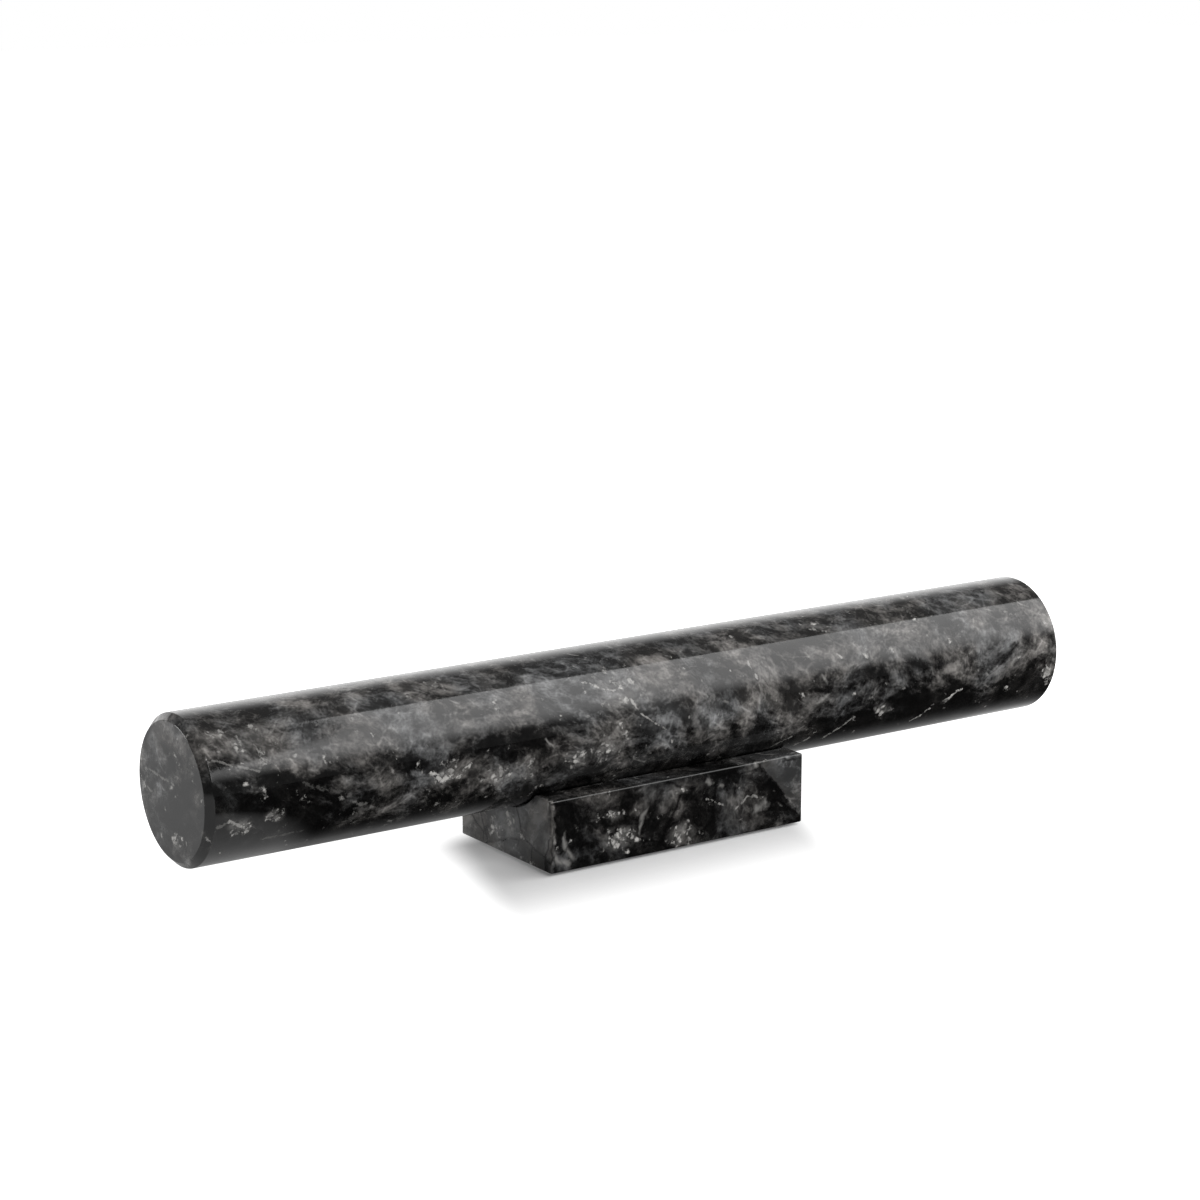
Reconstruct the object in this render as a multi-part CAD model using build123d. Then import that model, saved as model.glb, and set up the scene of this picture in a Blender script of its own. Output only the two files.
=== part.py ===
"""Marble rolling pin on its grooved block stand.

The pin is one turned and polished bar of stone, the same thickness all along, with a
narrow bevel ground round each end. The stand is a sawn block of the same stone. A round
groove along its top holds the pin, and four thin pads under it keep stone off the table.

Lengths are millimetres. X runs along the pin, Y across the stand and Z up. The origin is
on the table, under the middle of the stand, and the pin lies in its groove.
"""
from build123d import *
from math import sqrt
import os

# Driving dimensions of the pin
pin_diameter = 50.0
pin_length = 355.0
pin_bevel = 2.3
pin_bevel_softening = 0.5

# Driving dimensions of the stand
stand_length = 106.0
stand_width = 56.0
stand_height = 25.0
ridge_width = 10.0
seat_gap = 0.3
stand_arris = 0.6

# Driving dimensions of the pads under the stand
pad_diameter = 10.0
pad_thickness = 1.0
pad_inset_along = 12.0
pad_inset_across = 10.0

# The groove has the pin's own centre line, so the gap under the pin is even all round it.
pin_radius = pin_diameter / 2
groove_radius = pin_radius + seat_gap
groove_half_width = stand_width / 2 - ridge_width
stand_top = pad_thickness + stand_height
pin_axis_height = stand_top + sqrt(groove_radius**2 - groove_half_width**2)
groove_bottom = pin_axis_height - groove_radius


def rolling_pin():
    """The bar is turned about X from half of its outline."""
    half = pin_length / 2
    face_radius = pin_radius - pin_bevel
    bevel_start = half - pin_bevel
    outline = Polyline(
        (-half, 0),
        (-half, face_radius),
        (-bevel_start, pin_radius),
        (bevel_start, pin_radius),
        (half, face_radius),
        (half, 0),
        close=True,
    )
    section = make_face(outline)
    bevel_corners = section.vertices().filter_by(lambda corner: corner.Y > 0)
    section = fillet(bevel_corners, pin_bevel_softening)
    bar = revolve(section, Axis.X)
    return Pos(0, 0, pin_axis_height) * bar


def stand():
    """A sawn block, grooved by a round wheel, with a small flat rubbed on every edge."""
    block = Pos(0, 0, pad_thickness) * Box(
        stand_length,
        stand_width,
        stand_height,
        align=(Align.CENTER, Align.CENTER, Align.MIN),
    )
    groove_length = stand_length + pin_diameter
    wheel_path = Plane.YZ * Cylinder(groove_radius, groove_length)
    grooved = block - Pos(0, 0, pin_axis_height) * wheel_path
    return chamfer(grooved.edges(), stand_arris)


def pad():
    """A disc punched from thin rubber sheet, stuck on by its upper face."""
    return Cylinder(
        pad_diameter / 2,
        pad_thickness,
        align=(Align.CENTER, Align.CENTER, Align.MIN),
    )


def pads():
    """One pad near each corner of the stand's underside."""
    along = stand_length / 2 - pad_inset_along
    across = stand_width / 2 - pad_inset_across
    placed = {}
    for end, x in (("left", -along), ("right", along)):
        for side, y in (("front", -across), ("back", across)):
            placed[f"pad_{end}_{side}"] = Pos(x, y, 0) * pad()
    return placed


nodes = {"rolling_pin": rolling_pin(), "stand": stand(), **pads()}

os.makedirs("parts", exist_ok=True)
for node, solid in nodes.items():
    export_step(solid, f"parts/{node}.step")

print(f"pin centre line {pin_axis_height:.3f} mm above the table")
print(f"groove {2 * groove_half_width:.1f} mm wide, {stand_top - groove_bottom:.3f} mm deep")
print(f"stone left under the groove {groove_bottom - pad_thickness:.3f} mm")
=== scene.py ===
# %% [markdown]
# # A marble rolling pin on its stand
#
# This lesson dresses a imported CAD model for a picture. The object is very simple: one
# turned bar of black marble, one grooved block of the same stone and four small pads.
# So nearly all of its look is in two things, which get most of the cells: what the polish
# reflects, and the drawing of the stone.
#
# The frame is that CAD model. Its pieces are in their places, in metres, and each new
# piece is modelled where the one that it replaces stands.

# %% Load the frame
import math
from collections import namedtuple

import bmesh
import bpy
from mathutils import Matrix, Vector


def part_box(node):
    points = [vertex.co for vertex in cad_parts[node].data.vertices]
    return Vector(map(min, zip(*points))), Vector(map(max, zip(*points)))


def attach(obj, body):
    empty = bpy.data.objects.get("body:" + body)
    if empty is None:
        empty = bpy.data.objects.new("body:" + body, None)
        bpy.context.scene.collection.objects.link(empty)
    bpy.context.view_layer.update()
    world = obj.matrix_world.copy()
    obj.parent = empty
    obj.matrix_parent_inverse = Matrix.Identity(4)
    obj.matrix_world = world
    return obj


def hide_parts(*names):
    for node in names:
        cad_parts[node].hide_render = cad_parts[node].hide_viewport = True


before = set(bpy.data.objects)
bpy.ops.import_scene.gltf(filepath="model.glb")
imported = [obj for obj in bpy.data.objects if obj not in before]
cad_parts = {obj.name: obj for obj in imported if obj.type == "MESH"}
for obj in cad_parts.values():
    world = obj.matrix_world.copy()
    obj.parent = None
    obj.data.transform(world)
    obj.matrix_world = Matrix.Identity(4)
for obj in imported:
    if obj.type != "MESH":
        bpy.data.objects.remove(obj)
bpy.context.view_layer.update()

MM = 0.001
print("CAD nodes:", sorted(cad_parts))

# %% [markdown]
# ## The camera
#
# A product photograph like this one is taken with a long lens from a metre away, so that
# the far end of the pin isn't much smaller than the near one. The place and the lens were
# found by fitting the outlines of the pin and of the stand to the photograph.

# %% Camera
bpy.context.scene.view_settings.view_transform = "Standard"

eye = Vector((-0.5801, -0.8227, 0.3113))
looked_at = Vector((-0.0095, 0.0065, 0.0827))
turned = (looked_at - eye).to_track_quat("-Z", "Y").to_euler()

bpy.ops.object.select_all(action="DESELECT")
bpy.ops.object.camera_add(location=eye, rotation=turned)
camera = bpy.context.object
camera.name = "camera"
camera.data.lens = 90
camera.data.sensor_width = 36
bpy.context.scene.camera = camera
print(f"camera {(looked_at - eye).length:.3f} m from what it looks at")

# %% [markdown]
# ## Helpers for materials
#
# A node material is a chain of small steps. It could be wired by hand in the shader
# editor. In code, one helper adds a step and gives back its output, so that a finish reads
# from top to bottom like a recipe. The others are named after what they do to a value.

# %% One step of a recipe
def feed(tree, socket, value):
    """Put a number, a colour or another step's output into a socket."""
    if isinstance(value, bpy.types.NodeSocket):
        tree.links.new(value, socket)
    else:
        socket.default_value = value


def step(tree, kind, inputs, output=0, **settings):
    """Add a node, set it up, feed its sockets and give back one of its outputs."""
    node = tree.nodes.new("ShaderNode" + kind)
    for setting, value in settings.items():
        setattr(node, setting, value)
    for socket, value in inputs.items():
        feed(tree, node.inputs[socket], value)
    return node.outputs[output]


# %% [markdown]
# Adding, multiplying and comparing are Math nodes. Written as words, a recipe can be read
# aloud: this times that, or the most of the two. A fade is a Map Range node with soft
# ends. It turns any value into a mask with a soft border, and does most of the drawing.

# %% Sums and fades
def maths(tree, operation, first, second=0.0, clamp=False):
    return step(tree, "Math", {0: first, 1: second}, operation=operation, use_clamp=clamp)


def plus(tree, *values):
    total = values[0]
    for value in values[1:]:
        total = maths(tree, "ADD", total, value)
    return total


def times(tree, *values):
    product = values[0]
    for value in values[1:]:
        product = maths(tree, "MULTIPLY", product, value)
    return product


def mixed(tree, *parts):
    """Adds up values, each times its share."""
    return plus(tree, *(times(tree, value, share) for value, share in parts))


def most(tree, *values):
    largest = values[0]
    for value in values[1:]:
        largest = maths(tree, "MAXIMUM", largest, value)
    return largest


def without(tree, value, share=1.0):
    """Turns a mask round: 1 where it is 0, and 1 - share where it is 1."""
    return maths(tree, "SUBTRACT", 1.0, times(tree, value, share))


def fade(tree, value, start, end, before=0.0, after=1.0):
    """Goes softly from before to after while the value goes from start to end."""
    inputs = {"Value": value, "From Min": start, "From Max": end,
              "To Min": before, "To Max": after}
    return step(tree, "MapRange", inputs, "Result", interpolation_type="SMOOTHSTEP")


def tint(tree, share, one, other):
    """Mixes two colours."""
    return step(tree, "Mix", {"Factor": share, "A": one, "B": other}, "Result", data_type="RGBA")


def grey(level):
    return (level, level, level, 1)


# %% [markdown]
# ## The floor
#
# The object stands on a pale floor that runs out into white. It could be a white sweep
# lit until it burns out, but that much light would also wash out the black stone. So it
# is one large plane, whose material shows each kind of ray what it should see.

# %% Floor
bpy.ops.object.select_all(action="DESELECT")
bpy.ops.mesh.primitive_plane_add(size=12, location=(0, 0, 0))
floor = bpy.context.object
floor.name = "floor"
print("floor is", floor.dimensions.x, "m wide")

# %% [markdown]
# The camera alone is shown a plain glow, and where its strength is 1 the floor is white.
# The glow is weak near the stand, so the camera sees a painted shadow there, laid over the
# real shadow that the lamps cast. A round weak spot would give the painted shadow a round
# edge, so the spot is a slanted box with soft sides, which reach further to the front, as
# the shadow does in the photograph.

# %% What the camera sees of the floor
shadow_slant = 0.35
shadow_ends = (-0.060, 0.055)
shadow_sides = (-0.020, 0.016)
soft_reach = 0.020
soft_reach_in_front = 0.070
glow_in_shadow = 0.10
glow_beside_it = 0.90
more_glow_far_off = 0.20
far_off = (0.06, 0.30)


def beyond(tree, value, start, end, reach_before, reach_after):
    """0 while the value lies between start and end, and 1 a reach outside of them."""
    before = times(tree, plus(tree, value, -start), -1 / reach_before)
    after = times(tree, plus(tree, value, -end), 1 / reach_after)
    return most(tree, before, after, 0.0)


pale = bpy.data.materials.new("pale_floor")
pale.use_nodes = True
tree = pale.node_tree
tree.nodes.clear()
place = step(tree, "TexCoord", {}, "Object")
spot = step(tree, "SeparateXYZ", {0: place}).node.outputs
slanted = plus(tree, spot["X"], times(tree, spot["Y"], -shadow_slant))
past_ends = beyond(tree, slanted, *shadow_ends, soft_reach, soft_reach)
past_sides = beyond(tree, spot["Y"], *shadow_sides, soft_reach_in_front, soft_reach)
past_shadow = step(tree, "CombineXYZ", {0: past_ends, 1: past_sides})
past_shadow = step(tree, "VectorMath", {0: past_shadow}, "Value", operation="LENGTH")
radius = step(tree, "VectorMath", {0: place}, "Value", operation="LENGTH")
# Weak near the stand: a painted shadow, seen by the camera alone over the real one.
glow_with_painted_shadow = fade(tree, past_shadow, 0.0, 1.0, glow_in_shadow, glow_beside_it)
far_glow = fade(tree, radius, *far_off, 0.0, more_glow_far_off)
print("glow round the stand:", len(tree.nodes), "nodes")

# %% [markdown]
# A photographer lays black card in front of polished black stone to keep it black. Here no
# card stands: the floor's material paints its dark reflection, which only the polish sees.
# Behind its back edge, which lies under the pin, the floor glows for the polish alone, a
# painted reflection that gives the pin its soft lower rim. A weaker painted card darkens the
# floor on the left, again only in reflections. Both end a few centimetres short of the near
# end, so the lowest part of that end mirrors the glowing white floor.

# %% What the polish sees of the floor
card_edge = -0.024
card_edge_width = 0.045
left_card_edge = (-0.100, -0.045)
left_card_darkness = 0.45
cards_begin = (-0.138, -0.122)
bare_floor = grey(0.75)
painted_card_black = grey(0.03)
painted_rim_glow = 0.14

seen = step(tree, "LightPath", {}).node
by_camera = seen.outputs["Is Camera Ray"]
by_polish = seen.outputs["Is Glossy Ray"]
# Painted reflections: the cards darken the floor for glossy rays alone.
front_card = fade(tree, spot["Y"], card_edge, card_edge + card_edge_width, 1.0, 0.0)
left_card = fade(tree, spot["X"], *left_card_edge, left_card_darkness, 0.0)
card = times(tree, most(tree, front_card, left_card), fade(tree, spot["X"], *cards_begin))
paper_colour = tint(tree, times(tree, by_polish, card), bare_floor, painted_card_black)
paper = step(tree, "BsdfDiffuse", {"Color": paper_colour})
# Behind the card the polish alone sees a glow: a painted reflection that makes the lower rim.
glow = plus(tree, times(tree, by_camera, plus(tree, glow_with_painted_shadow, far_glow)),
            times(tree, by_polish, without(tree, card), painted_rim_glow))
shine = step(tree, "Emission", {"Strength": glow})
both = step(tree, "AddShader", {0: paper, 1: shine})
feed(tree, tree.nodes.new("ShaderNodeOutputMaterial").inputs["Surface"], both)
floor.data.materials.append(pale)
print(f"edge of the black card {card_edge / MM:.0f} mm from the middle of the pin")

# %% [markdown]
# ## The light
#
# Polished stone shows its surroundings, so the lamps are placed by what the photograph
# shows in the polish. Along the upper front of the pin lies one broad pale band with a
# sharp upper edge: a long softbox, parallel to the pin, in front of it and to the right.
# Above the band the pin is dark, so nothing hangs overhead. A lamp could be placed by eye,
# but this one is drawn between its two long edges, because those edges are what shows.

# %% Softbox
def lamp_between(name, top, bottom, left, right, radiance):
    """A rectangular lamp parallel to X between two long edges, each given as (y, z)."""
    top, bottom = Vector((0, *top)), Vector((0, *bottom))
    middle = (top + bottom) / 2 + Vector(((left + right) / 2, 0, 0))
    up = (top - bottom).normalized()
    across = Vector((1, 0, 0))
    if across.cross(up).dot(middle) < 0:
        across = -across
    axes = Matrix((across, up, across.cross(up))).transposed()
    bpy.ops.object.select_all(action="DESELECT")
    bpy.ops.object.light_add(type="AREA", location=middle, rotation=axes.to_euler())
    lamp = bpy.context.object
    lamp.name = name
    lamp.data.shape = "RECTANGLE"
    lamp.data.size = right - left
    lamp.data.size_y = (top - bottom).length
    lamp.data.energy = radiance * math.pi * lamp.data.size * lamp.data.size_y
    lamp.visible_camera = False
    print(f"{name}: {lamp.data.size:.2f} x {lamp.data.size_y:.2f} m, {lamp.data.energy:.1f} W")
    return lamp


softbox = lamp_between("softbox", top=(-0.03, 0.96), bottom=(-1.446, 0.465),
                       left=0.33, right=1.75, radiance=2.5)

# %% [markdown]
# The band on the pin fades out downwards. A real softbox does that when its cloth is lit
# from the top, so this one gets a graded cloth: its strength follows its own height.

# %% Graded cloth
def graded(lamp, dark_at, full_at):
    """Lets a lamp fade along its height, which goes from 0 at its lower edge to 1."""
    lamp.data.use_nodes = True
    tree = lamp.data.node_tree
    on_lamp = step(tree, "NewGeometry", {}, "Parametric")
    height = step(tree, "SeparateXYZ", {0: on_lamp}, "Y")
    feed(tree, tree.nodes["Emission"].inputs["Strength"], fade(tree, height, dark_at, full_at))
    print(f"{lamp.name}: dark at {dark_at}, full at {full_at} of its height")


graded(softbox, 0.0, 0.5)

# %% [markdown]
# The very rim of the pin and the tops of the stand's ridges are bright, because they show
# a white wall at the back. The wall ends soon to the left, so the bevel at the near end of
# the pin, which looks that way, stays a dark ring as in the photograph.

# %% Back wall
back_wall = lamp_between("back_wall", top=(1.5, 2.0), bottom=(1.5, 0.0),
                         left=-0.45, right=3.2, radiance=1.15)
graded(back_wall, 0.85, 0.20)

# %% [markdown]
# A small lamp beside the camera opens up the stone without showing in the polish, because
# no face that the camera sees is turned so that it would mirror it.

# %% Fill
lamp_between("fill", top=(-1.0, 1.7), bottom=(-1.7, 0.7),
             left=-0.25, right=0.50, radiance=4.4)

# %% [markdown]
# The end faces look to the left, where none of these lamps is. A small one stands there, a
# little behind the pin, so that it rakes over the faces and leaves the bevel round the
# near end in the dark.

# %% Side light
near_end = Vector((-0.18, 0.0, 0.06))
beside = Vector((-0.86, 0.62, 0.46))
side_size = 0.4
side_radiance = 7.0

turned = (near_end - beside).to_track_quat("-Z", "Y").to_euler()
bpy.ops.object.select_all(action="DESELECT")
bpy.ops.object.light_add(type="AREA", location=beside, rotation=turned)
side_light = bpy.context.object
side_light.name = "side_light"
side_light.data.size = side_size
side_light.data.energy = side_radiance * math.pi * side_size ** 2
side_light.visible_camera = False
print(f"side light: {side_light.data.energy:.1f} W")

# %% [markdown]
# The world gives the little light that is left over from every other side. The camera
# alone sees it as white.

# %% World
left_over = 0.14

studio = bpy.data.worlds.new("studio")
bpy.context.scene.world = studio
studio.use_nodes = True
tree = studio.node_tree
by_camera = step(tree, "LightPath", {}, "Is Camera Ray")
strength = plus(tree, times(tree, by_camera, 1.0 - left_over), left_over)
tree.nodes["Background"].inputs["Color"].default_value = grey(1)
feed(tree, tree.nodes["Background"].inputs["Strength"], strength)
print("left-over light", left_over)

# %% [markdown]
# ## Helpers for modelling
#
# The pieces are modelled in edit mode, as by hand. With no mouse, points and edges are
# picked by where they are, to within a hair: a hundredth of a millimetre.

# %% Picking by place
HAIR = 0.01


def start_edit():
    bpy.ops.object.mode_set(mode="EDIT")
    bpy.ops.mesh.select_all(action="DESELECT")


def pick(kind, wanted):
    """Select the points, edges or faces whose middle, in millimetres, is wanted."""
    bpy.ops.mesh.select_mode(type=kind)
    bpy.ops.mesh.select_all(action="DESELECT")
    mesh = bmesh.from_edit_mesh(bpy.context.object.data)
    parts = {"VERT": mesh.verts, "EDGE": mesh.edges, "FACE": mesh.faces}[kind]
    for part in parts:
        corners = [part] if kind == "VERT" else part.verts
        middle = sum((corner.co for corner in corners), Vector()) / len(corners)
        if wanted(middle / MM):
            part.select_set(True)
    bmesh.update_edit_mesh(bpy.context.object.data)


def merge_touching():
    bpy.ops.mesh.select_all(action="SELECT")
    bpy.ops.mesh.remove_doubles(threshold=1e-6)


# %% [markdown]
# Every finished piece is treated alike. Smooth shading rounds off the turned and grooved
# faces, and weighted normals keep the flat ones flat right up to their softened edges.
# Then it is measured: a piece of stone is closed, so no edge may lack a face.

# %% Finishing and measuring a piece
def finish_piece(piece, smooth_up_to=40):
    bpy.ops.object.shade_smooth_by_angle(angle=math.radians(smooth_up_to))
    modifier = piece.modifiers.new("flat faces stay flat", "WEIGHTED_NORMAL")
    modifier.keep_sharp = True
    bpy.ops.object.modifier_apply(modifier=modifier.name)
    mesh = bmesh.new()
    mesh.from_mesh(piece.data)
    gaps = sum(1 for edge in mesh.edges if len(edge.link_faces) != 2)
    volume = mesh.calc_volume(signed=True)
    mesh.free()
    size = " x ".join(f"{length / MM:.1f}" for length in piece.dimensions)
    print(f"{piece.name}: {size} mm, {len(piece.data.polygons)} faces, {gaps} open edges,"
          f" {volume * 1e6:.2f} cm3")


# %% [markdown]
# ## The rolling pin
#
# The real pin is turned on a lathe from a sawn bar: the cutter follows half of the
# outline while the bar spins. A cylinder with bevelled ends would do, but spinning half of
# the outline is how the piece is made, and the softened corners come with it. The plane
# below is that half, from the centre line up to the surface.

# %% Half of the outline
low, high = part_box("rolling_pin")
pin_length = high.x - low.x
pin_radius = (high.z - low.z) / 2
pin_axis = (high.z + low.z) / 2

bpy.ops.object.select_all(action="DESELECT")
bpy.ops.mesh.primitive_plane_add(size=1, rotation=(math.pi / 2, 0, 0))
pin = bpy.context.object
pin.name = "turned_pin"
pin.dimensions = (pin_length, pin_radius, 0)
pin.location = (0, 0, pin_axis + pin_radius / 2)
bpy.ops.object.transform_apply(location=True, rotation=True, scale=True)
print(f"pin {pin_length / MM:.1f} mm long, radius {pin_radius / MM:.2f} mm")

# %% [markdown]
# The mason grinds a narrow bevel round each end and then rubs its two corners, because a
# sharp stone edge chips. Bevelling the corner points twice does the same: once wide and
# flat, once small and round. A corner of 45 degrees gets a radius of 0.5 mm when 0.207 mm
# comes off either side of it.

# %% Bevel and softened corners
bevel_width = 2.3 * MM
corner_softening = 0.207 * MM

start_edit()
top = (pin_axis + pin_radius) / MM
pick("VERT", lambda p: p.z > top - HAIR)
bpy.ops.mesh.bevel(offset=bevel_width, segments=1, affect="VERTICES")
pick("VERT", lambda p: p.z > top - bevel_width / MM - HAIR)
bpy.ops.mesh.bevel(offset=corner_softening, segments=4, affect="VERTICES")
outline = bmesh.from_edit_mesh(pin.data)
print("outline points:", len(outline.verts))

# %% [markdown]
# Now the lathe: the face and the edge on the centre line go, the open outline is spun once
# round, and the points that meet at the start and at the two poles are merged.

# %% Turning
lathe_steps = 192

pick("FACE", lambda p: True)
bpy.ops.mesh.delete(type="ONLY_FACE")
pick("EDGE", lambda p: abs(p.x) < HAIR and p.z < pin_axis / MM + HAIR)
bpy.ops.mesh.delete(type="EDGE")
bpy.ops.mesh.select_mode(type="VERT")
bpy.ops.mesh.select_all(action="SELECT")
bpy.ops.mesh.spin(steps=lathe_steps, angle=2 * math.pi, center=(0, 0, pin_axis), axis=(1, 0, 0))
merge_touching()
bpy.ops.mesh.normals_make_consistent(inside=False)
bpy.ops.object.mode_set(mode="OBJECT")
finish_piece(pin)

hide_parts("rolling_pin")
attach(pin, "pin")

# %% [markdown]
# ## The stand
#
# The mason saws a block and grinds the groove with a round wheel. A boolean cut would
# follow that, but it leaves ragged points along the lips. All faces run straight through
# from end to end, so the stand is drawn as its end face and drawn out to its length.

# %% End face of the stand
low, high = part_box("stand")
stand_length = high.x - low.x
half_width = high.y
ridge_width = 10 * MM
lip = half_width - ridge_width
groove_radius = math.hypot(lip, pin_axis - high.z)

bpy.ops.object.select_all(action="DESELECT")
bpy.ops.mesh.primitive_plane_add(size=1, rotation=(math.pi / 2, 0, math.pi / 2))
stand = bpy.context.object
stand.name = "grooved_stand"
stand.dimensions = (2 * half_width, high.z - low.z, 0)
stand.location = (low.x, 0, (low.z + high.z) / 2)
bpy.ops.object.transform_apply(location=True, rotation=True, scale=True)
print(f"groove {2 * lip / MM:.1f} mm wide, radius {groove_radius / MM:.2f} mm")

# %% [markdown]
# The groove is an arc about the pin's own centre line, so that the gap between the two is
# even all round. Two cuts mark its lips, the edge between them goes, and one lip's point
# is spun over to the other.

# %% Groove
groove_steps = 48

start_edit()
for side in (-lip, lip):
    bpy.ops.mesh.select_all(action="SELECT")
    bpy.ops.mesh.bisect(plane_co=(low.x, side, 0), plane_no=(0, 1, 0))
pick("EDGE", lambda p: abs(p.y) < HAIR and p.z > high.z / MM - HAIR)
bpy.ops.mesh.delete(type="EDGE")
pick("VERT", lambda p: abs(p.y + lip / MM) < HAIR and p.z > high.z / MM - HAIR)
swing = 2 * math.asin(lip / groove_radius)
bpy.ops.mesh.spin(steps=groove_steps, angle=swing, center=(low.x, 0, pin_axis), axis=(-1, 0, 0))
merge_touching()
pick("EDGE", lambda p: abs(p.y) < lip / MM + HAIR)
bpy.ops.mesh.edge_face_add()
pick("EDGE", lambda p: abs(abs(p.y) - lip / MM) < HAIR)
bpy.ops.mesh.dissolve_edges(use_verts=False)
profile = bmesh.from_edit_mesh(stand.data)
print("end face:", len(profile.verts), "points,", len(profile.faces), "face")

# %% [markdown]
# Last, the face is drawn out, and every sharp edge is rubbed down by hand, the lips of
# the groove too: one bevel on all the edges that turn by more than a curve's facet does.

# %% Drawn out and rubbed down
arris = 0.6 * MM

bpy.ops.mesh.select_all(action="SELECT")
bpy.ops.mesh.extrude_region_move(TRANSFORM_OT_translate={"value": (stand_length, 0, 0)})
bpy.ops.mesh.select_all(action="SELECT")
bpy.ops.mesh.normals_make_consistent(inside=False)
bpy.ops.mesh.select_mode(type="EDGE")
bpy.ops.mesh.select_all(action="DESELECT")
bpy.ops.mesh.edges_select_sharp(sharpness=math.radians(30))
bpy.ops.mesh.bevel(offset=arris, segments=3, profile=0.5, clamp_overlap=True)
bpy.ops.object.mode_set(mode="OBJECT")
finish_piece(stand)

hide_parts("stand")
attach(stand, "stand")

# %% [markdown]
# ## The pads
#
# Four discs punched from thin black rubber sheet are stuck under the stand. A punch
# leaves the rims slightly rounded, the lower one more, where the weight presses it. Each
# is a cylinder whose two rims are bevelled in edit mode.

# %% Pads
lower_rim = 0.22 * MM
upper_rim = 0.08 * MM


def punched_pad(node):
    low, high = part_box(node)
    bpy.ops.object.select_all(action="DESELECT")
    bpy.ops.mesh.primitive_cylinder_add(vertices=64, radius=(high.x - low.x) / 2,
                                        depth=high.z - low.z, location=(low + high) / 2)
    pad = bpy.context.object
    pad.name = node + "_disc"
    bpy.ops.object.transform_apply(location=True, rotation=True, scale=True)
    start_edit()
    pick("FACE", lambda p: p.z < low.z / MM + HAIR)
    bpy.ops.mesh.bevel(offset=lower_rim, segments=4, profile=0.5)
    pick("FACE", lambda p: p.z > high.z / MM - HAIR)
    bpy.ops.mesh.bevel(offset=upper_rim, segments=2, profile=0.5)
    bpy.ops.object.mode_set(mode="OBJECT")
    finish_piece(pad)
    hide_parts(node)
    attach(pad, "stand")
    return pad


pads = [punched_pad(node) for node in sorted(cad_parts) if node.startswith("pad_")]

# %% [markdown]
# ## The stone
#
# Black marble is not one colour. A near-black ground was broken and healed with grey, the
# grey is a felt of fine crystals, the whole bed was folded and squeezed so that it runs in
# slanting streaks, and last came thin white veins and nests of white grains. A picture of
# a slab wrapped round the pin would show seams and a stretched end face. A solid texture
# doesn't: each point takes its colour from its place in the block, as in real stone.
#
# Sizes are given in millimetres, because that is how one judges them on the stone.

# %% Noise and distances
def noise(tree, where, size_mm, detail=4.0, roughness=0.5, output="Fac"):
    inputs = {"Vector": where, "Scale": 1000 / size_mm, "Detail": detail, "Roughness": roughness}
    return step(tree, "TexNoise", inputs, output)


def vector(tree, operation, first, second):
    return step(tree, "VectorMath", {0: first, 1: second}, "Vector", operation=operation)


def scaled(tree, first, share):
    return step(tree, "VectorMath", {0: first, "Scale": share}, "Vector", operation="SCALE")


def projected(tree, first, second):
    return step(tree, "VectorMath", {0: first, 1: second}, "Value", operation="DOT_PRODUCT")


def distance(tree, first, second):
    return step(tree, "VectorMath", {0: first, 1: second}, "Value", operation="DISTANCE")


# %% [markdown]
# Folding and squeezing act on the place, before any pattern is drawn. Pushing the place
# about by a soft noise folds the bed. Stretching space along the bed turns round grains
# into streaks. The stone was squeezed from two sides, so there are two directions: one
# square to the bed, and one square to the later flow, which crosses the bed at a slant.

# %% Folding and squeezing
ACROSS_BED = Vector((0.46, 0.50, 0.62))
ACROSS_FLOW = Vector((0.20, 0.42, 0.88))
Bed = namedtuple("Bed", "place bent close tight")
print(f"bed and flow cross at {math.degrees(ACROSS_BED.angle(ACROSS_FLOW)):.0f} degrees")


def folded(tree, where, size_mm, shift_mm, detail=2.0):
    push = noise(tree, where, size_mm, detail=detail, output="Color")
    push = vector(tree, "SUBTRACT", push, (0.5, 0.5, 0.5))
    return vector(tree, "ADD", where, scaled(tree, push, 2 * shift_mm * MM))


def squeezed(tree, where, stretch, across=ACROSS_BED):
    """Stretches a pattern in the plane that is square to the direction across."""
    inputs = {"Vector": where, "Rotation": across.to_track_quat("Z", "Y").to_euler(),
              "Scale": (stretch, stretch, 1)}
    return step(tree, "Mapping", inputs, "Vector", vector_type="TEXTURE")


def bed_of(tree, cut_from):
    """The place on the piece, and its place in the block, folded ever more finely."""
    place = step(tree, "TexCoord", {}, "Object")
    bent = folded(tree, vector(tree, "ADD", place, cut_from), size_mm=60, shift_mm=10)
    close = folded(tree, bent, size_mm=12, shift_mm=1.5, detail=3)
    tight = folded(tree, close, size_mm=3.2, shift_mm=0.4)
    return Bed(place, bent, close, tight)


# %% [markdown]
# Grey clouds are patches of three sizes with a net of fine threads. A patch is a noise
# with more contrast. Threads are the walls between small cells, and larger cells give
# the seams and cracks further on. A power makes the dense places stand out.

# %% Grey clouds
def patches(tree, where, size_mm, stretch, detail=5.0, across=ACROSS_BED):
    where = squeezed(tree, where, stretch, across)
    value = noise(tree, where, size_mm, detail=detail, roughness=0.60)
    return fade(tree, value, 0.33, 0.67)


def walls(tree, where, cell_mm, thickness):
    """1 on the walls between cells, fading out over a thickness that is a share of a cell."""
    inputs = {"Vector": where, "Scale": 1000 / cell_mm}
    off_wall = step(tree, "TexVoronoi", inputs, "Distance", feature="DISTANCE_TO_EDGE")
    return fade(tree, off_wall, 0.0, thickness, 1.0, 0.0)


def threads(tree, bed):
    """A net of thin pale threads in some places of the grey."""
    net = walls(tree, squeezed(tree, bed.tight, 1.2), cell_mm=4.6, thickness=0.12)
    return times(tree, net, fade(tree, noise(tree, bed.close, 9), 0.46, 0.60))


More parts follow.
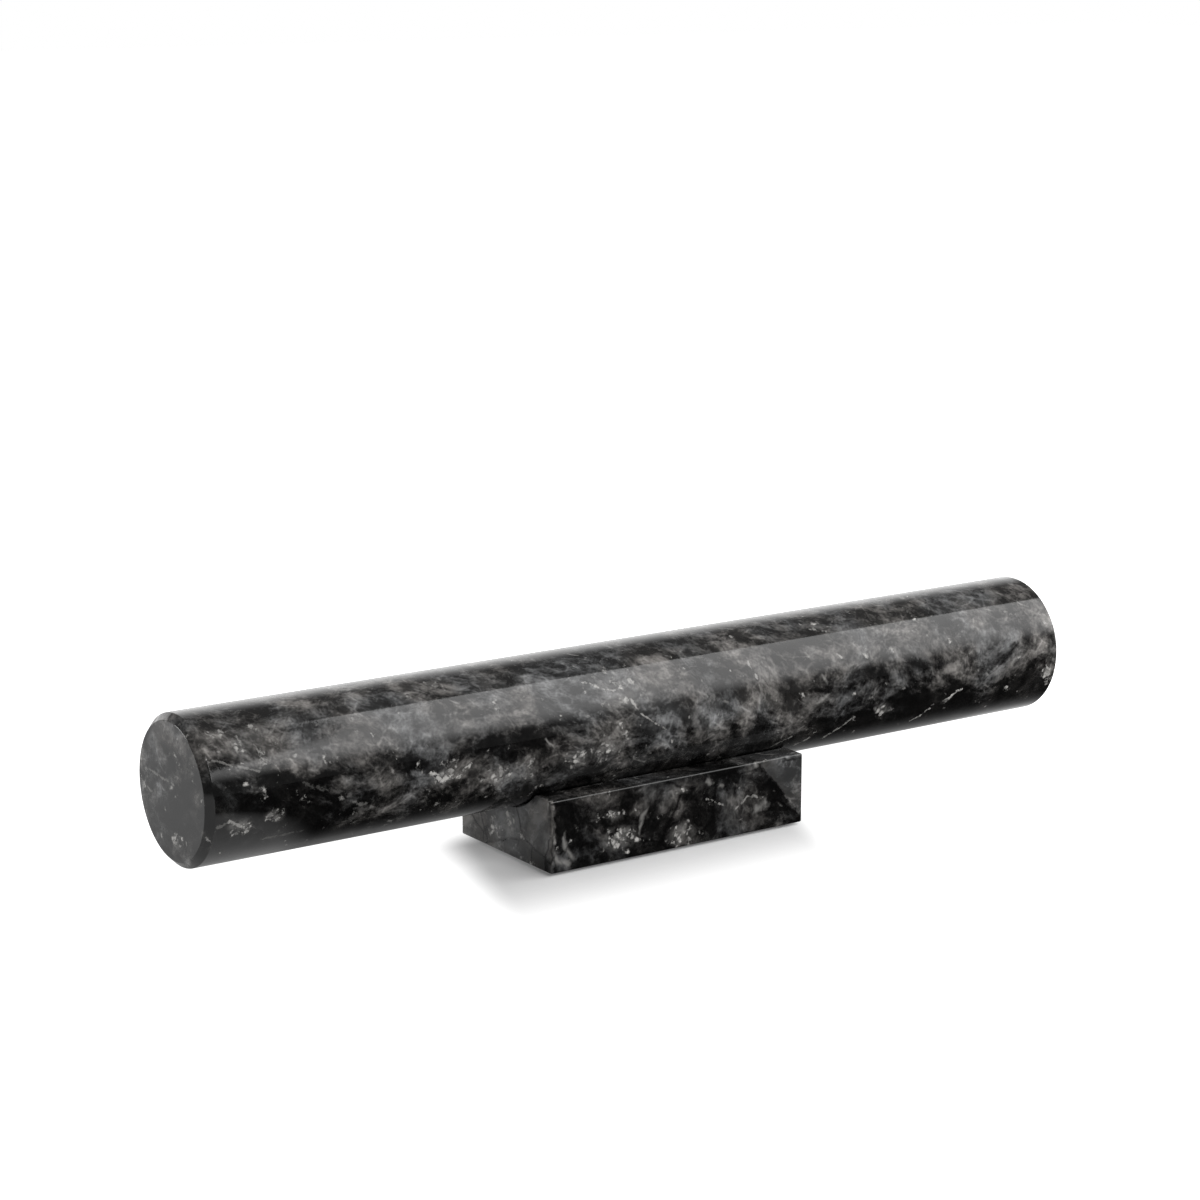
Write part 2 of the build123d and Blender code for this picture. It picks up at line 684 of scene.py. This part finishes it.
def density(tree, bed, smoke, mottle, felt):
    net = threads(tree, bed)
    dense = mixed(tree, (smoke, 0.40), (mottle, 0.40), (felt, 0.16), (net, 0.16))
    return maths(tree, "POWER", dense, 2.4)


# %% [markdown]
# Three more things shape the grey. Faint streaks cross grey and black alike. Where the
# zone asks for more than grey, the stone closes to a smooth solid grey. Thin black seams
# part all of it into blocks in some places.

# %% Streaks, solid grey and seams
def streaks(tree, bed, smoke):
    where = squeezed(tree, bed.tight, 4.0, ACROSS_FLOW)
    lines = fade(tree, noise(tree, where, 2.0, detail=4, roughness=0.62), 0.54, 0.74)
    return times(tree, lines, fade(tree, smoke, 0.2, 0.8), 0.08)


def solid_grey(tree, zone, smoke):
    level = plus(tree, 0.16, times(tree, maths(tree, "POWER", smoke, 2.0), 0.60))
    return times(tree, fade(tree, zone, 1.0, 1.5), level)


def between_seams(tree, bed, strength):
    """1 in the stone, and less in the seams."""
    where = folded(tree, bed.close, size_mm=4, shift_mm=0.8)
    seam = walls(tree, where, cell_mm=17, thickness=0.045)
    somewhere = fade(tree, noise(tree, bed.bent, 14), 0.42, 0.58)
    return without(tree, times(tree, seam, somewhere), strength)


# %% [markdown]
# Now the grey is put together. A coarse, very detailed noise says where the ground is
# healed with grey, and gives the border between grey and black its broken edge. It could
# be the zone alone, but then the border would be as smooth as a painted one. Where the
# ground isn't healed, only a veil of the clouds is left.

# %% Share of grey
def grey_share(tree, bed, zone, nest, veil, seams):
    """The share of grey, and the felt of crystals, which the polish shows too.

    veil is how much of the clouds may lie over the black, and seams how dark a seam is.
    """
    smoke = patches(tree, bed.close, 11, 1.7, detail=6)
    mottle = patches(tree, bed.tight, 3.8, 1.6, across=ACROSS_FLOW)
    felt = patches(tree, bed.tight, 1.2, 1.0, detail=3)
    broad = squeezed(tree, bed.close, 1.8, ACROSS_FLOW)
    ground = noise(tree, broad, 16, detail=10, roughness=0.70)
    healed = mixed(tree, (ground, 1.0), (zone, 0.26), (mottle, 0.05), (felt, 0.03), (nest, 0.10))
    far_cloud = noise(tree, bed.close, 15, detail=8, roughness=0.66)
    faint = fade(tree, far_cloud, 0.44, 0.60, 0.03, veil)
    clouds = times(tree, density(tree, bed, smoke, mottle, felt),
                   fade(tree, healed, 0.55, 0.79, faint, 1.0))
    share = most(tree, clouds, streaks(tree, bed, smoke), solid_grey(tree, zone, smoke))
    return times(tree, share, between_seams(tree, bed, seams)), felt


# %% [markdown]
# The white is drawn last, over the rest. Flecks lie along the bed, but rarely. In a nest
# they crowd together: the nest lowers the limit above which the noise counts as white, so
# its grains keep broken edges instead of fading like a painted spot. The heart of a nest
# is a heap of larger grains, made of the middles of small cells. Left round they would
# look like beads, so a fine noise breaks their outlines.

# %% White flecks
grain_mm = 2.2
fleck_border = 0.11


def flecks(tree, where, across, nest, size_mm, stretch, crowding, limit):
    where = squeezed(tree, where, stretch, across)
    value = noise(tree, where, size_mm, detail=4, roughness=0.62)
    value = plus(tree, value, times(tree, nest, crowding))
    return fade(tree, value, limit, limit + fleck_border)


def heaped_grains(tree, bed, nest):
    loose = folded(tree, bed.place, size_mm=2.4, shift_mm=0.9, detail=4)
    cells = {"Vector": loose, "Scale": 1000 / grain_mm}
    off_middle = step(tree, "TexVoronoi", cells, "Distance")
    ragged = plus(tree, noise(tree, bed.tight, 1.0, detail=4, roughness=0.7), -0.5)
    off_middle = plus(tree, off_middle, times(tree, ragged, 1.8))
    chosen = plus(tree, noise(tree, loose, 4.0, detail=4), times(tree, nest, 0.37))
    return times(tree, fade(tree, off_middle, 0.26, 0.62, 1.0, 0.0),
                 fade(tree, chosen, 0.64, 0.76))


def white_grains(tree, bed, nest):
    along_bed = flecks(tree, bed.close, ACROSS_BED, nest,
                       size_mm=2.2, stretch=3.6, crowding=0.05, limit=0.71)
    along_flow = flecks(tree, bed.tight, ACROSS_FLOW, nest,
                        size_mm=1.8, stretch=3.2, crowding=0.12, limit=0.72)
    uneven = fade(tree, noise(tree, bed.tight, 2.4, detail=3), 0.35, 0.65, 0.30, 1.0)
    grains = most(tree, along_bed, along_flow, heaped_grains(tree, bed, nest))
    halo = times(tree, fade(tree, nest, 0.2, 1.0), patches(tree, bed.tight, 2.4, 1.1), 0.26)
    return most(tree, times(tree, grains, uneven), halo)


# %% [markdown]
# Veins are cracks that healed white. The small ones are the walls between large cells,
# shown only here and there. The few that catch the eye in the photograph are drawn one by
# one between two places in the stone and then broken up, so that no line looks ruled.

# %% Veins
def healed_cracks(tree, bed):
    where = folded(tree, bed.bent, size_mm=7, shift_mm=1.4, detail=4)
    crack = walls(tree, squeezed(tree, where, 1.8), cell_mm=38, thickness=0.014)
    here_and_there = fade(tree, noise(tree, bed.close, 7, detail=5), 0.54, 0.68)
    return times(tree, crack, here_and_there, 0.34)


def stroke(tree, place, start_mm, end_mm, width_mm):
    """1 along the line between two places, fading to 0 at its sides."""
    start, end = Vector(start_mm) * MM, Vector(end_mm) * MM
    line = end - start
    from_start = vector(tree, "SUBTRACT", place, start)
    share = projected(tree, from_start, line / line.length_squared)
    nearest = scaled(tree, line, maths(tree, "ADD", share, 0.0, clamp=True))
    return fade(tree, distance(tree, from_start, nearest), 0.0, width_mm * MM, 1.0, 0.0)


def drawn_veins(tree, bed, wavering, veins):
    breaks = fade(tree, noise(tree, bed.tight, 1.8, detail=4, roughness=0.7), 0.34, 0.66)
    drawn = 0.0
    for start, end, width, strength in veins:
        line = plus(tree, stroke(tree, wavering, start, end, width), times(tree, breaks, 0.8))
        drawn = most(tree, drawn, fade(tree, line, 0.95, 1.4, 0.0, strength))
    return drawn


# %% [markdown]
# A noise strews weak nests all over the stone. The ones that catch the eye are placed one
# by one, each fading from its middle outwards. They are longer along the pin than across it.

# %% Nests
def nests_of(tree, bed, wavering, nests):
    nest = fade(tree, noise(tree, bed.close, 13), 0.56, 0.74, 0.0, 0.55)
    flattened = Vector((0.6, 1, 1))
    place = vector(tree, "MULTIPLY", wavering, flattened)
    for middle_mm, radius_mm, strength in nests:
        off = distance(tree, place, Vector(middle_mm) * flattened * MM)
        nest = most(tree, nest, fade(tree, off, 0.0, radius_mm * MM, strength, 0.0))
    return nest


# %% [markdown]
# The polish is that of a hard stone. The felt of crystals and the white grains take it
# less well, so they are a little duller and stand out by a few microns.

# %% Polish
polished = 0.05
felt_dullness = 0.03
white_dullness = 0.06


def polish(tree, colour, felt, white):
    skin = tree.nodes["Principled BSDF"]
    feed(tree, skin.inputs["Base Color"], colour)
    dull = plus(tree, polished, times(tree, felt, felt_dullness))
    dull = plus(tree, dull, times(tree, white, white_dullness))
    feed(tree, skin.inputs["Roughness"], dull)
    skin.inputs["IOR"].default_value = 1.5
    relief = {"Strength": 0.12, "Distance": 0.02 * MM, "Height": plus(tree, felt, white)}
    feed(tree, skin.inputs["Normal"], step(tree, "Bump", relief, "Normal"))


# %% [markdown]
# Now the recipe is put together. The pin and the stand each have a zone function that
# says where the piece is black and where grey: below 0 is black, 1 is grey, and above 1
# the grey closes up. The outlines of zones and marks waver, as everything in stone does.

# %% Marble
BLACK = (0.0024, 0.0023, 0.0023, 1)
WARM_GREY = (0.375, 0.356, 0.338, 1)
COOL_GREY = (0.350, 0.353, 0.356, 1)
WHITE = (0.62, 0.605, 0.58, 1)
Marks = namedtuple("Marks", "veins nests")


def marble(name, cut_from, veil, seams, zone_of, marks):
    """One piece's stone. cut_from says where in the block it was sawn out, in metres."""
    stone = bpy.data.materials.new(name)
    stone.use_nodes = True
    tree = stone.node_tree
    bed = bed_of(tree, cut_from)
    wavering = folded(tree, bed.place, size_mm=5, shift_mm=1.5, detail=4)
    zone = zone_of(tree, wavering, noise(tree, bed.bent, 30, detail=6))
    nest = nests_of(tree, bed, wavering, marks.nests)
    share, felt = grey_share(tree, bed, zone, nest, veil, seams)
    hue = fade(tree, noise(tree, bed.bent, 22, detail=3), 0.40, 0.62)
    colour = tint(tree, share, BLACK, tint(tree, hue, WARM_GREY, COOL_GREY))
    white = most(tree, white_grains(tree, bed, nest), healed_cracks(tree, bed),
                 drawn_veins(tree, bed, wavering, marks.veins))
    colour = tint(tree, white, colour, WHITE)
    polish(tree, colour, felt, white)
    print(f"{name}: {len(tree.nodes)} nodes")
    return stone


# %% [markdown]
# On the pin, grey lies above and black below, with a border that wanders. One black belt
# runs through the grey in the left half and, weaker, near the right end. The near end
# face is grey and grows paler upwards. Height is counted in radii from the centre line,
# towards the side that the photograph shows as the upper one.

# %% Marble of the pin
UPPER_SIDE = Vector((0, 0.266, 0.964))
belt_height = -0.12
belt_half_width = 0.22
near_face = (-0.1772, -0.1762)


def pin_zone(tree, place, wander):
    above_axis = vector(tree, "SUBTRACT", place, Vector((0, 0, pin_axis)))
    height = projected(tree, above_axis, UPPER_SIDE / pin_radius)
    height = plus(tree, height, times(tree, wander, 1.2), -0.6)
    along = step(tree, "SeparateXYZ", {0: place}, "X")
    border = plus(tree, fade(tree, along, -0.158, -0.120, before=0.14, after=-0.66),
                  fade(tree, along, 0.03, 0.10, before=0.0, after=0.20))
    above_border = maths(tree, "SUBTRACT", height, border)
    grey_above = fade(tree, above_border, -0.40, 0.34, before=-0.35, after=1.16)
    off_belt = maths(tree, "ABSOLUTE", plus(tree, height, -belt_height))
    belt = fade(tree, off_belt, 0.0, belt_half_width, 1.0, 0.0)
    reach = most(tree, fade(tree, along, -0.060, -0.035, before=1.0, after=0.0),
                 fade(tree, along, 0.05, 0.08, before=0.0, after=0.65))
    body = times(tree, grey_above, without(tree, times(tree, belt, reach)))
    end_face = fade(tree, height, -0.1, 0.9, before=0.32, after=1.22)
    at_face = fade(tree, along, *near_face, 1.0, 0.0)
    return mixed(tree, (body, without(tree, at_face)), (end_face, at_face))


# %% [markdown]
# The marks are places in the stone, in millimetres. A vein has two ends, a width and a
# strength, and a nest has a middle, a radius and a strength.

# %% Marks of the pin
PIN_MARKS = Marks(
    veins=[
        ((110, -18.5, 27), (117, -21.9, 31.7), 1.1, 0.7),
        ((123, -23, 34), (129.5, -24.2, 37.4), 1.5, 0.9),
        ((69, -18.2, 26.7), (79, -22.6, 33.1), 1.3, 0.4),
        ((57, -17, 25.4), (63, -19.8, 28.5), 1.3, 0.35),
        ((45, -19, 27.5), (54, -21.3, 30.7), 1.3, 0.35),
        ((-174, -24.2, 37.6), (-170, -24.3, 38.3), 1.3, 0.15),
        ((-170, -24.3, 38.3), (-165, -23.9, 36.5), 1.5, 0.50),
        ((-157, -20.6, 29.7), (-143, -21, 30.2), 1.3, 0.10),
        ((-144, -24.8, 47), (-127, -24.7, 40.2), 1.6, 0.08),
        ((-125, -23.5, 35.2), (-106, -21.2, 30.6), 1.6, 0.08),
        ((-177.5, 18, 47.3), (-177.5, -2, 46.8), 1.2, 0.30),
        ((-97, -25, 43), (-93, -24.7, 39.6), 1.7, 0.9),
        ((-93, -24.7, 39.6), (-87, -24.7, 39.8), 1.6, 0.95),
        ((-87, -24.7, 39.8), (-82, -25, 43), 1.4, 0.8),
        ((-17, -22.4, 55), (-13, -24.5, 48.5), 1.1, 0.6),
        ((-13, -24.5, 48.5), (-4, -25, 43), 1.0, 0.5),
        ((-33, -17, 62), (-22, -20.5, 58), 1.3, 0.6),
        ((35, -9, 67), (35, -20, 59), 1.5, 0.5),
        ((35, -20, 59), (37, -23, 54), 1.4, 0.5),
        ((66, -9, 67), (75, -22, 56), 1.3, 0.6),
        ((-173, -20.9, 57.6), (-158, -23, 53), 1.2, 0.25),
        ((-131, -24.7, 40), (-118, -23, 34), 1.2, 0.20),
    ],
    nests=[
        ((-154, -24, 38), 4, 1.0), ((-166, -24, 37), 5, 0.9), ((-92, -24.8, 41), 7, 0.8),
        ((-70, -24, 37), 6, 0.9), ((-41, -24, 38), 6, 0.9), ((-28, -24.5, 39), 6, 0.9),
        ((93, -23, 35), 3.5, 1.0), ((172, -24, 38), 4, 1.0), ((-168, -14, 64), 4, 0.9),
        ((-20, -20, 58), 11, 0.6), ((-160, -17, 61), 13, 0.5), ((-177.5, -3, 28), 6, 0.7),
    ],
)
pin_marble = marble("polished_marble_pin", cut_from=(0, 0, 0), veil=0.20, seams=0.35,
                    zone_of=pin_zone, marks=PIN_MARKS)
pin.data.materials.append(pin_marble)

# %% [markdown]
# The stand was sawn from another part of the same block. It is black in front, up to one
# straight slanting seam near the right end, and grey towards the back. Its left end shows
# a smooth solid grey.

# %% Marble of the stand
def stand_zone(tree, place, wander):
    spot = step(tree, "SeparateXYZ", {0: place}).node.outputs
    past_seam = plus(tree, spot["X"], times(tree, spot["Z"], 0.85))
    backwards = plus(tree, spot["Y"], times(tree, wander, 0.03))
    return most(tree, fade(tree, past_seam, 0.0545, 0.0565, before=-0.4, after=1.3),
                fade(tree, backwards, -0.010, 0.004, before=-0.4, after=1.1),
                fade(tree, spot["X"], -0.0528, -0.0505, before=1.42, after=-0.4))


STAND_MARKS = Marks(
    veins=[
        ((11.4, -28, 16.4), (19.2, -28, 12.5), 1.0, 0.4),
        ((23.5, -28, 10.3), (28.7, -28, 14.5), 1.1, 0.4),
        ((28.7, -28, 14.5), (35.7, -28, 13.3), 1.0, 0.4),
        ((-53, 14, 21.6), (-53, 9.6, 18.7), 1.0, 0.5),
    ],
    nests=[
        ((-25, -28, 9), 8, 1.0), ((1, -28, 5.5), 7, 0.9), ((-28, -28, 17), 5, 0.62),
        ((0.7, -28, 21.4), 3, 0.8), ((-53, -3, 12), 9, 1.0), ((-53, 6, 8), 9, 0.7),
    ],
)
stand_marble = marble("polished_marble_stand", cut_from=(0.31, 0.12, -0.23), veil=0.56,
                      seams=0.8, zone_of=stand_zone, marks=STAND_MARKS)
stand.data.materials.append(stand_marble)

# %% [markdown]
# ## The rubber
#
# The pads are plain black rubber, dull and slightly dusty, with the fine grain of calendered
# sheet. Only their sides show, so two noises are enough: one for dust and one for grain.

# %% Rubber
clean_rubber = grey(0.022)
dusty_rubber = (0.06, 0.058, 0.055, 1)

rubber = bpy.data.materials.new("black_rubber")
rubber.use_nodes = True
tree = rubber.node_tree
skin = tree.nodes["Principled BSDF"]
place = step(tree, "TexCoord", {}, "Object")
dust = noise(tree, place, 1.5, detail=5)
colour = tint(tree, fade(tree, dust, 0.45, 0.75), clean_rubber, dusty_rubber)
feed(tree, skin.inputs["Base Color"], colour)
feed(tree, skin.inputs["Roughness"], fade(tree, dust, 0.3, 0.7, before=0.7, after=0.9))
grain = {"Strength": 0.3, "Distance": 0.05 * MM, "Height": noise(tree, place, 0.4, detail=2)}
feed(tree, skin.inputs["Normal"], step(tree, "Bump", grain, "Normal"))
for pad in pads:
    pad.data.materials.append(rubber)
print("rubber on", len(pads), "pads")
